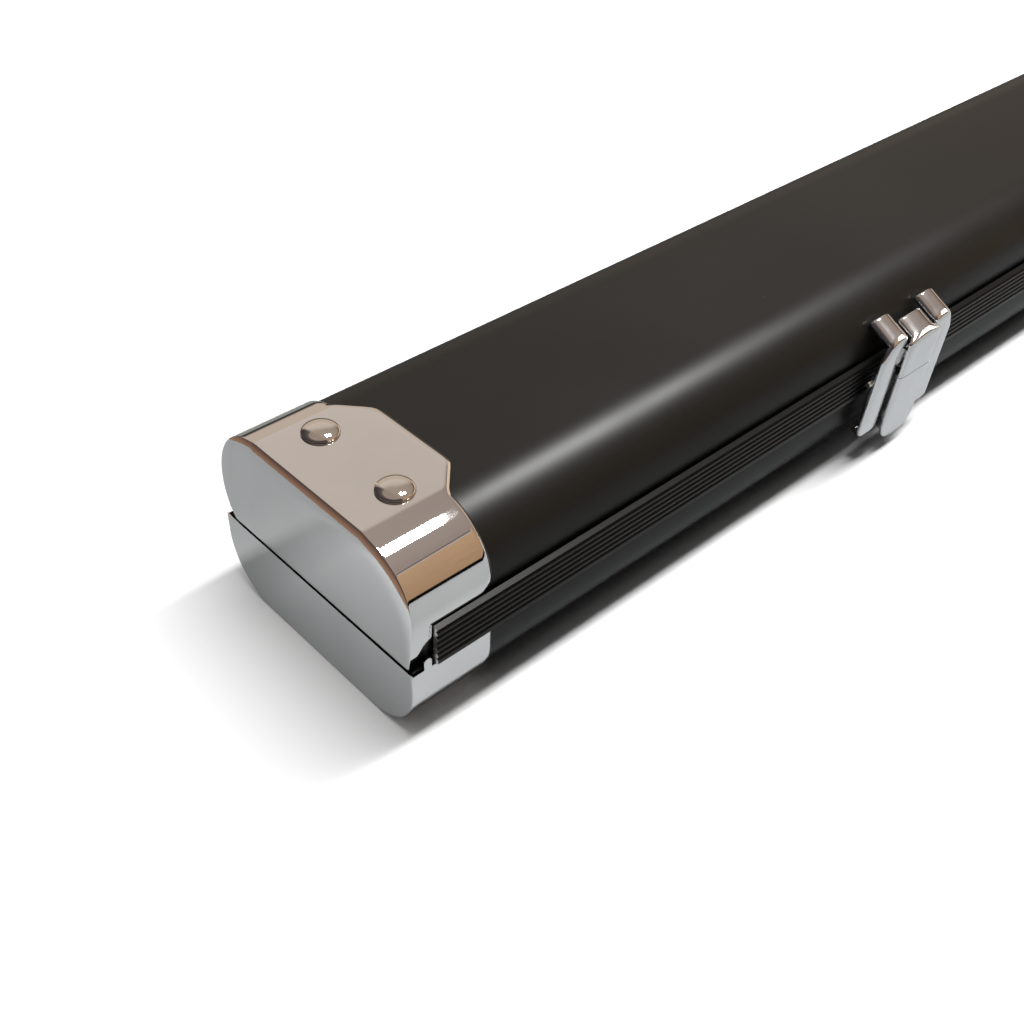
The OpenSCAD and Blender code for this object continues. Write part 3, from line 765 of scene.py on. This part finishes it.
def bent_back(face, corner, radius, slope, reach, steps=10):
    """Outer line of a bar that runs up a face and bends back at a corner, as (y, z, angle, run).

    The run counts from 0 at the start of the bend to 1 at the bar's tip."""
    turn = 90 - slope
    length = radius * math.tan(math.radians(turn / 2))
    centre = (face + radius, corner - length)
    line = []
    for k in range(steps + 1):
        angle = 180 - turn * k / steps
        line.append((centre[0] + radius * math.cos(math.radians(angle)),
                     centre[1] + radius * math.sin(math.radians(angle)), angle))
    y, z, angle = line[-1]
    rise = math.tan(math.radians(slope))
    for k in range(1, steps + 1):
        along = (reach - y) * k / steps
        line.append((y + along, z + along * rise, angle))
    total = len(line) - 1
    return [(*station, k / total) for k, station in enumerate(line)]


def lean(bm, x):
    """Leans what was drawn upright around the pivot, and moves it to its place."""
    turn = Matrix.Rotation(LATCH_LEAN, 4, "X")
    bmesh.ops.transform(bm, matrix=turn, verts=bm.verts)
    bmesh.ops.translate(bm, verts=bm.verts, vec=(x, PIVOT_Y, PIVOT_Z))


CLAW_WIDTH = 37 * MM
LEVER_WIDTH = 16.4 * MM
ARM_WIDTH = 8.5 * MM
ARM_FACE = -2.6 * MM
ARM_THICK = 2.4 * MM
ARM_CROWN = 0.5
PLATE_FACE = -4.4 * MM
PLATE_THICK = 1.5 * MM
PLATE_CROWN = 0.28
CLAW_DROP = 19 * MM
CLAW_PIN_Y = 0.5 * MM
BEND_RADIUS = 3.4 * MM
FINGER_SLOPE = 25


def finger(face, corner, reach, wide, tip_wide, thick, tip_thick, crown):
    """Stations of a finger from the start of its bend to its blunt, rounded tip at y = reach."""
    path = []
    for y, z, angle, run in bent_back(face, corner, BEND_RADIUS, FINGER_SLOPE, reach):
        width = wide + (tip_wide - wide) * smooth(0, 0.5, run)
        depth = thick + (tip_thick - thick) * smooth(0, 0.8, run)
        path.append((y, z, angle, width, depth, crown + (0.95 - crown) * smooth(0, 0.5, run)))
    y, z, angle, width, depth, crown = path.pop()
    out_y, out_z = math.cos(math.radians(angle)), math.sin(math.radians(angle))
    steps = 5
    for k in range(steps + 1):
        t = math.pi / 2 * k / steps
        rounded = 1 - math.cos(t)
        short = 0.9 * MM * (1 - math.sin(t)) - 0.2 * MM
        low = depth * 0.42 * rounded
        tip_y = y - out_z * short - out_y * low
        tip_z = z + out_y * short - out_z * low
        path.append((tip_y, tip_z, angle, width * (1 - 0.16 * rounded), depth - low, crown))
    return path


def claw_arm_path():
    """From the eye under the claw pin, up the arm, and over in the hook to its blunt tip."""
    path = []
    eye = 3.0 * MM
    steps = 8
    for k in range(steps + 1):
        t = k / steps
        angle = 285 - 105 * t
        y = ARM_FACE + eye + eye * math.cos(math.radians(angle))
        z = -CLAW_DROP + eye * math.sin(math.radians(angle))
        width = ARM_WIDTH * (0.55 + 0.45 * math.sin(t * math.pi / 2))
        path.append((y, z, angle, width, ARM_THICK, ARM_CROWN))
    for z in range(-16, 9, 4):
        path.append((ARM_FACE, z * MM, 180, ARM_WIDTH, ARM_THICK, ARM_CROWN))
    path += finger(ARM_FACE, corner=14.8 * MM, reach=6.4 * MM, wide=ARM_WIDTH, tip_wide=8.8 * MM,
                   thick=ARM_THICK, tip_thick=3.3 * MM, crown=ARM_CROWN)
    return path


def panel_path():
    """The claw's middle panel, which stands forward of its arms and bends back at its top."""
    path = []
    for z in (-0.45, 1.5, 3.5, 5.5, 7.5):
        path.append((PLATE_FACE, z * MM, 180, LEVER_WIDTH, PLATE_THICK, PLATE_CROWN))
    path += finger(PLATE_FACE, corner=13.8 * MM, reach=3.2 * MM, wide=LEVER_WIDTH,
                   tip_wide=11.5 * MM, thick=PLATE_THICK, tip_thick=2.8 * MM, crown=0.4)
    return path


def claw(side, x):
    """Two arms with hooks, a middle panel, and the web and its two cheeks behind the panel."""
    bm = bmesh.new()
    arm_x = (CLAW_WIDTH - ARM_WIDTH) / 2
    for way in (-1, 1):
        formed_bar(bm, claw_arm_path(), way * arm_x, -way * 2.6 * MM)
    formed_bar(bm, panel_path(), 0)
    low, high = 3.2 * MM, 9.4 * MM
    web = [(-1.3 * MM, z, 180, 23 * MM, 1.3 * MM, 0.1) for z in (low, 6 * MM, high)]
    formed_bar(bm, web, 0)
    front, back = -3.6 * MM, -0.8 * MM
    cheek = [(front, low), (back, low), (back, high), (front, high)]
    for place in (-7.2 * MM, 7.2 * MM):
        extrusion(bm, cheek, place - 0.6 * MM, place + 0.6 * MM)
    lean(bm, x)
    piece = add_piece("formed_claw_" + side, bm, [CHROME_LATCH], sharp=50)
    return settle(piece, "claw_" + side, "chrome_latch", "latch_claw_" + side)


def lever_plate_path():
    """The lever's face plate from its top down to its round end."""
    corner = 6 * MM
    low = -26.5 * MM
    path = []
    for z in (-0.65, -4, -8, -12, -16, -20):
        path.append((PLATE_FACE, z * MM, 180, LEVER_WIDTH, PLATE_THICK, PLATE_CROWN))
    steps = 10
    for k in range(steps + 1):
        t = math.radians(88) * k / steps
        y = PLATE_FACE + 0.5 * MM * smooth(0, 1, k / steps)
        z = low + corner - corner * math.sin(t)
        width = LEVER_WIDTH - 2 * corner + 2 * corner * math.cos(t)
        path.append((y, z, 180, width, PLATE_THICK, PLATE_CROWN))
    return path


def lever(side, x):
    """Face plate with two cheeks, which run from the pivot to the claw pin."""
    bm = bmesh.new()
    formed_bar(bm, lever_plate_path(), 0)
    cheek = 1.4 * MM
    eye = 2.0 * MM
    outline = arc(0, 0, eye, 20, 110, 8)
    outline += [(-3.1 * MM, -1 * MM), (-3.1 * MM, -CLAW_DROP - 3 * MM)]
    outline += arc(CLAW_PIN_Y, -CLAW_DROP, eye, 250, 370, 10)
    outline += [(1.4 * MM, -9 * MM), (1.4 * MM, -1.2 * MM)]
    half = LEVER_WIDTH / 2
    for start in (-half + 0.6 * MM, half - cheek - 0.6 * MM):
        extrusion(bm, outline, start, start + cheek)
    lean(bm, x)
    piece = add_piece("formed_lever_" + side, bm, [CHROME_LATCH], sharp=50)
    return settle(piece, "lever_" + side, "chrome_latch", "latch_lever_" + side)


# ---------------------------------------------------------------- handle

HANDLE_Y = -46.3 * MM
HANDLE_SPAN = 108 * MM
HANDLE_DROP = 22 * MM
WIRE = 1.7 * MM


def bent_route(corners, radii, steps=8):
    """Points along a line through corners, each rounded to its radius."""
    points = [Vector(corners[0])]
    for k in range(1, len(corners) - 1):
        corner = Vector(corners[k])
        before = (Vector(corners[k - 1]) - corner).normalized()
        after = (Vector(corners[k + 1]) - corner).normalized()
        radius = radii[k - 1]
        centre = corner + (before + after) * radius
        for s in range(steps + 1):
            t = math.pi / 2 * s / steps
            points.append(centre - after * radius * math.cos(t) - before * radius * math.sin(t))
    points.append(Vector(corners[-1]))
    return points


def wire_bow():
    """Round wire through both bearings and the grip, with rounded bends."""
    leg = HANDLE_SPAN / 2
    end = 67 * MM
    corners = [(-end, 0), (-leg, 0), (-leg, -HANDLE_DROP), (leg, -HANDLE_DROP), (leg, 0), (end, 0)]
    corners = [(x, HANDLE_Y, PIVOT_Z + z) for x, z in corners]
    route = bent_route(corners, [4 * MM, 5 * MM, 5 * MM, 4 * MM])
    rings = []
    count = 24
    for k, point in enumerate(route):
        ahead = route[min(k + 1, len(route) - 1)] - route[max(k - 1, 0)]
        ahead.normalize()
        out = Vector((0, -1, 0))
        side = ahead.cross(out)
        ring = []
        for s in range(count):
            t = 2 * math.pi * s / count
            ring.append(point + (out * math.cos(t) + side * math.sin(t)) * WIRE)
        rings.append(ring)
    bm = bmesh.new()
    loft(bm, rings)
    piece = add_piece("wire_bow", bm, [STEEL], bevel=0.3 * MM, sharp=60)
    return settle(piece, "handle", "chrome_latch", "handle_bow")


def soft_grip():
    """Moulded sleeve, fuller in the middle, with shallow finger rings and plain collars."""
    length = 94 * MM
    steps = 188
    collar = 5.2 * MM
    chamfer = 0.5 * MM
    bore = WIRE + 0.05 * MM
    profile = [(0, bore), (0, collar - chamfer), (chamfer, collar)]
    for k in range(2, steps - 1):
        along = length * k / steps
        edge = min(along, length - along)
        radius = collar + 1.0 * MM * smooth(3 * MM, 16 * MM, edge)
        if edge > 7 * MM:
            ring = math.cos(2 * math.pi * (along - length / 2) / (4 * MM))
            radius -= 0.32 * MM * max(0.0, -ring) ** 2
        profile.append((along, radius))
    profile += [(length - chamfer, collar), (length, collar - chamfer), (length, bore)]
    bm = bmesh.new()
    turned(bm, profile, (-length / 2, HANDLE_Y, PIVOT_Z - HANDLE_DROP), (1, 0, 0), 40)
    piece = add_piece("soft_grip", bm, [GRIP], sharp=50)
    return settle(piece, "handle", "grip", "handle_grip")


# ---------------------------------------------------------------- foam

FOAM_VOXEL = 2.5 * MM


def shaped_foam(name, source, body):
    """Foam cut to the shape of its CAD solid, with softened edges and a slightly uneven skin."""
    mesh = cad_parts[source].data.copy()
    piece = bpy.data.objects.new(name, mesh)
    scene.collection.objects.link(piece)
    mesh.materials.clear()
    mesh.materials.append(FOAM)
    shape = piece.modifiers.new("skin", "REMESH")
    shape.mode = "VOXEL"
    shape.voxel_size = FOAM_VOXEL
    shape.use_smooth_shade = True
    ease = piece.modifiers.new("ease", "SMOOTH")
    ease.factor = 0.5
    ease.iterations = 5
    bake(piece, 180)
    settle(piece, body, "foam", source)
    return piece


# ---------------------------------------------------------------- carried-over CAD nodes

def finish_node(name, material, bevel=0.0):
    """Gives a CAD node its material, and rounds its edges without touching its mesh."""
    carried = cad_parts[name]
    carried.data.materials.clear()
    carried.data.materials.append(material)
    if bevel:
        weld = carried.modifiers.new("weld", "WELD")
        weld.merge_threshold = 0.01 * MM
        rounding = carried.modifiers.new("edges", "BEVEL")
        rounding.width = bevel
        rounding.segments = 2
        rounding.limit_method = "ANGLE"
        rounding.angle_limit = math.radians(50)
        rounding.use_clamp_overlap = True
        rounding.harden_normals = False


def carried_over_nodes():
    for side in ("left", "right"):
        finish_node("latch_bracket_" + side, ZINC, 0.15 * MM)
        finish_node("latch_pivot_" + side, STEEL, 0.2 * MM)
        finish_node("claw_pin_" + side, STEEL, 0.2 * MM)
        finish_node("handle_bracket_" + side, ZINC, 0.2 * MM)
    for group in ("latch_rivets", "handle_rivets", "base_cap_rivets"):
        finish_node(group, CHROME_RIVET)
    for half in ("base", "lid"):
        finish_node("hinge_rivets_" + half, NICKEL)
        finish_node("hinge_leaf_" + half, NICKEL, 0.1 * MM)
    finish_node("hinge_pin", STEEL, 0.2 * MM)


# ---------------------------------------------------------------- stage

def stage_plane(name, x0, x1, y0, y1, height, material):
    """Level rectangle that isn't part of the object."""
    corners = [(x0, y0, height), (x1, y0, height), (x1, y1, height), (x0, y1, height)]
    mesh = bpy.data.meshes.new(name)
    mesh.from_pydata(corners, [], [range(4)])
    mesh.materials.append(material)
    plane = bpy.data.objects.new(name, mesh)
    scene.collection.objects.link(plane)
    return plane


def matt(name):
    made, tree, shader = new_material(name)
    shader.inputs["Roughness"].default_value = 0.9
    shader.inputs["Specular IOR Level"].default_value = 0.0
    return made, tree, shader


def floor():
    """Pale floor, which glossy surfaces don't see."""
    reach = 12
    material, _, shader = matt("pale_floor")
    shader.inputs["Base Color"].default_value = (0.86, 0.86, 0.86, 1)
    ground = stage_plane("floor", -reach, reach, -reach, reach, 0, material)
    ground.visible_glossy = False


def ramp_colour(tree, source, stops):
    """Colour that runs through stops of (place, colour) as the source goes from 0 to 1."""
    made = tree.nodes.new("ShaderNodeValToRGB")
    ramp = made.color_ramp
    while len(ramp.elements) < len(stops):
        ramp.elements.new(0.5)
    for element, (place, colour) in zip(ramp.elements, stops):
        element.position = place
        element.color = (*colour, 1)
    tree.links.new(source, made.inputs["Fac"])
    return made.outputs["Color"]


def axes_of(tree, output):
    """The X, Y and Z sockets of an output of the texture coordinates."""
    place = node(tree, "ShaderNodeTexCoord")
    axes = node(tree, "ShaderNodeSeparateXYZ")
    tree.links.new(place.outputs[output], axes.inputs[0])
    return axes.outputs


def reflection_card():
    """Grey floor that only reflections see: painted shade, darker than the pale floor, with painted
    shadow close behind the case, and darker still well in front.
    """
    material, tree, shader = matt("grey_card")
    across = spread(tree, axes_of(tree, "Object")["Y"], 0, 1, -0.10, 0.10)
    # painted shade and painted shadow: the card's grey, darkened close behind the case and also well in
    # front
    painted_shade = ramp_colour(tree, across, [
        (0.05, (0.32, 0.33, 0.335)),
        (0.25, (0.42, 0.435, 0.445)),
        (0.66, (0.43, 0.445, 0.455)),
        (0.74, (0.30, 0.31, 0.315)),
        (0.85, (0.26, 0.27, 0.275))])
    tree.links.new(painted_shade, shader.inputs["Base Color"])
    card = stage_plane("grey_card", -0.515, 4, -1.25, 0.16, 0.3 * MM, material)
    for ray in ("camera", "diffuse", "shadow", "transmission", "volume_scatter"):
        setattr(card, "visible_" + ray, False)


# The sky's colours by height, from straight down at 0 over the horizon at 0.5 to straight up at 1.
# The first four are the quiet, brown studio that only glossy surfaces see, on each side of the case.
FRONT_SKY = [
    (0.000, (0.45, 0.45, 0.45)),
    (0.400, (0.10, 0.10, 0.10)),
    (0.480, (0.004, 0.004, 0.004)),
    (0.519, (0.004, 0.004, 0.004)),
    (0.525, (0.46, 0.29, 0.17)),
    (0.700, (0.53, 0.34, 0.20)),
    (0.806, (0.58, 0.38, 0.23)),
    (0.814, (0.62, 0.56, 0.52)),
    (0.820, (0.06, 0.05, 0.08)),
    (0.828, (0.37, 0.30, 0.26)),
    (0.930, (0.40, 0.33, 0.30))]
SIDE_SKY = [
    (0.47, (0.12, 0.09, 0.07)),
    (0.50, (0.85, 0.64, 0.46)),
    (0.595, (0.85, 0.66, 0.50)),
    (0.61, (0.06, 0.05, 0.05)),
    (0.65, (0.08, 0.07, 0.06)),
    (0.69, (0.30, 0.215, 0.17)),
    (0.78, (0.37, 0.30, 0.26)),
    (0.92, (0.40, 0.33, 0.29))]
REAR_SKY = [
    (0.00, (0.36, 0.36, 0.34)),
    (0.44, (0.30, 0.31, 0.28)),
    (0.47, (0.04, 0.04, 0.04)),
    (0.51, (0.04, 0.04, 0.04)),
    (0.56, (0.60, 0.49, 0.40)),
    (0.70, (0.60, 0.50, 0.42)),
    (0.76, (0.66, 0.58, 0.52)),
    (0.84, (0.62, 0.54, 0.48)),
    (0.92, (0.42, 0.34, 0.29))]
NEAR_END_SKY = [
    (0.00, (0.42, 0.42, 0.42)),
    (0.22, (0.42, 0.36, 0.32)),
    (0.32, (0.34, 0.20, 0.13)),
    (0.44, (0.17, 0.095, 0.07)),
    (0.55, (0.07, 0.045, 0.045)),
    (0.64, (0.05, 0.045, 0.055)),
    (0.80, (0.08, 0.07, 0.075)),
    (0.87, (0.12, 0.10, 0.09)),
    (0.91, (0.36, 0.29, 0.25))]
LIGHTING_SKY = [
    (0.53, (0.05, 0.05, 0.05)),
    (0.72, (0.45, 0.45, 0.45)),
    (0.93, (1, 1, 1))]
BACKDROP = [
    (0.50, (0.42, 0.42, 0.42)),
    (0.56, (0.62, 0.62, 0.62)),
    (0.70, (0.95, 0.95, 0.95))]


def reflected_studio(tree, axes, height):
    """What glossy surfaces see: wood in front, and softer tones at the sides and behind."""
    grain = spread(tree, noise(tree, 9, 4, stretch=(26, 26, 3)), 0.84, 1.08)
    wood = dimmed(tree, ramp_colour(tree, height, FRONT_SKY), grain)
    sideways = spread(tree, axes["Y"], 0, 1, -0.55, -0.42)
    turning = mixed(tree, sideways, wood, ramp_colour(tree, height, SIDE_SKY))
    facing = spread(tree, axes["Y"], 0, 1, 0.30, 0.52)
    ahead = mixed(tree, facing, turning, ramp_colour(tree, height, REAR_SKY))
    beyond = spread(tree, axes["X"], 0, 1, -0.06, 0.08)
    return mixed(tree, beyond, ramp_colour(tree, height, NEAR_END_SKY), ahead)


def background(tree, colour, strength):
    made = node(tree, "ShaderNodeBackground", Strength=strength)
    tree.links.new(colour, made.inputs["Color"])
    return made.outputs[0]


def chosen_by(tree, factor, first, second):
    made = node(tree, "ShaderNodeMixShader")
    tree.links.new(factor, made.inputs["Fac"])
    tree.links.new(first, made.inputs[1])
    tree.links.new(second, made.inputs[2])
    return made.outputs[0]


def surroundings():
    """A plain backdrop, a white sky that lights from above and behind, and the reflected studio."""
    world = bpy.data.worlds.new("studio")
    scene.world = world
    world.use_nodes = True
    tree = world.node_tree
    tree.nodes.clear()
    axes = axes_of(tree, "Generated")
    height = spread(tree, axes["Z"], 0, 1, -1, 1)
    behind = spread(tree, axes["Y"], 0.03, 1, -0.45, 0.05)
    overhead = dimmed(tree, ramp_colour(tree, height, LIGHTING_SKY), behind)
    lighting = background(tree, overhead, 0.88)
    reflected = background(tree, reflected_studio(tree, axes, height), 1.0)
    shown = background(tree, ramp_colour(tree, height, BACKDROP), 1.0)
    path = node(tree, "ShaderNodeLightPath").outputs
    unseen = chosen_by(tree, path["Is Glossy Ray"], lighting, reflected)
    every_way = chosen_by(tree, path["Is Camera Ray"], unseen, shown)
    out = node(tree, "ShaderNodeOutputWorld")
    tree.links.new(every_way, out.inputs["Surface"])


# ---------------------------------------------------------------- lights and camera

LIT_END = (-0.40, 0, 0.04)


def soft_light(name, azimuth, elevation, distance, size, energy, target=LIT_END):
    """Rectangular light in a direction from the target, with its first side along the case."""
    data = bpy.data.lights.new(name, "AREA")
    data.shape = "RECTANGLE"
    data.size, data.size_y = size
    data.energy = energy
    light = bpy.data.objects.new(name, data)
    scene.collection.objects.link(light)
    a, e = math.radians(azimuth), math.radians(elevation)
    way = Vector((math.cos(e) * math.cos(a), math.cos(e) * math.sin(a), math.sin(e)))
    along = (Vector((1, 0, 0)) - way * way.x).normalized()
    across = way.cross(along)
    light.location = Vector(target) + way * distance
    light.rotation_mode = "QUATERNION"
    light.rotation_quaternion = Matrix((along, across, way)).transposed().to_quaternion()
    return light


def lights():
    """A wide key that lights without showing in gloss, and two panels that only shine along the lid."""
    key = soft_light("key", -14, 67, 1.7, (2.2, 0.22), 49)
    key.visible_glossy = False
    streak = soft_light("streak", -15, 63, 1.6, (0.125, 0.36), 6)
    streak.visible_diffuse = False
    glow = soft_light("glow", -16, 73, 1.6, (0.16, 0.40), 31)
    glow.visible_diffuse = False


def latch_glint(pieces):
    """Low lamp that only the latches receive, for the bright lines along their bends."""
    latch = (-LATCH_X, -45 * MM, 45 * MM)
    glint = soft_light("glint", -32.6, 21.5, 1.0, (0.40, 0.34), 3.4, target=latch)
    glint.visible_diffuse = False
    receivers = bpy.data.collections.new("glint_receivers")
    for piece in pieces:
        receivers.objects.link(piece)
    glint.light_linking.receiver_collection = receivers


def camera():
    """Looks down on the left end from the front. Its place is measured from the foot of that end."""
    data = bpy.data.cameras.new("camera")
    data.lens = 44.286
    data.sensor_width = 36
    data.clip_start = 0.01
    data.clip_end = 50
    made = bpy.data.objects.new("camera", data)
    scene.collection.objects.link(made)
    made.location = (-END_X - 0.12273, MID_Y - 0.20144, 0.24945)
    made.rotation_euler = [math.radians(a) for a in (49.4404, -1.3631, -42.4820)]
    scene.camera = made


camera()
floor()
reflection_card()
surroundings()
lights()
scene.view_settings.view_transform = "Standard"

lid_panel()
base_panel()
ribbed_rail()
for end in ("left", "right"):
    lid_cap(end)
    base_cap(end)
dome_rivets()
latches = []
for end, place in (("left", -LATCH_X), ("right", LATCH_X)):
    latches.append(claw(end, place))
    latches.append(lever(end, place))
latch_glint(latches)
wire_bow()
soft_grip()
shaped_foam("tray_foam", "foam_tray", "base")
shaped_foam("pad_foam", "lid_pad", "lid")
carried_over_nodes()
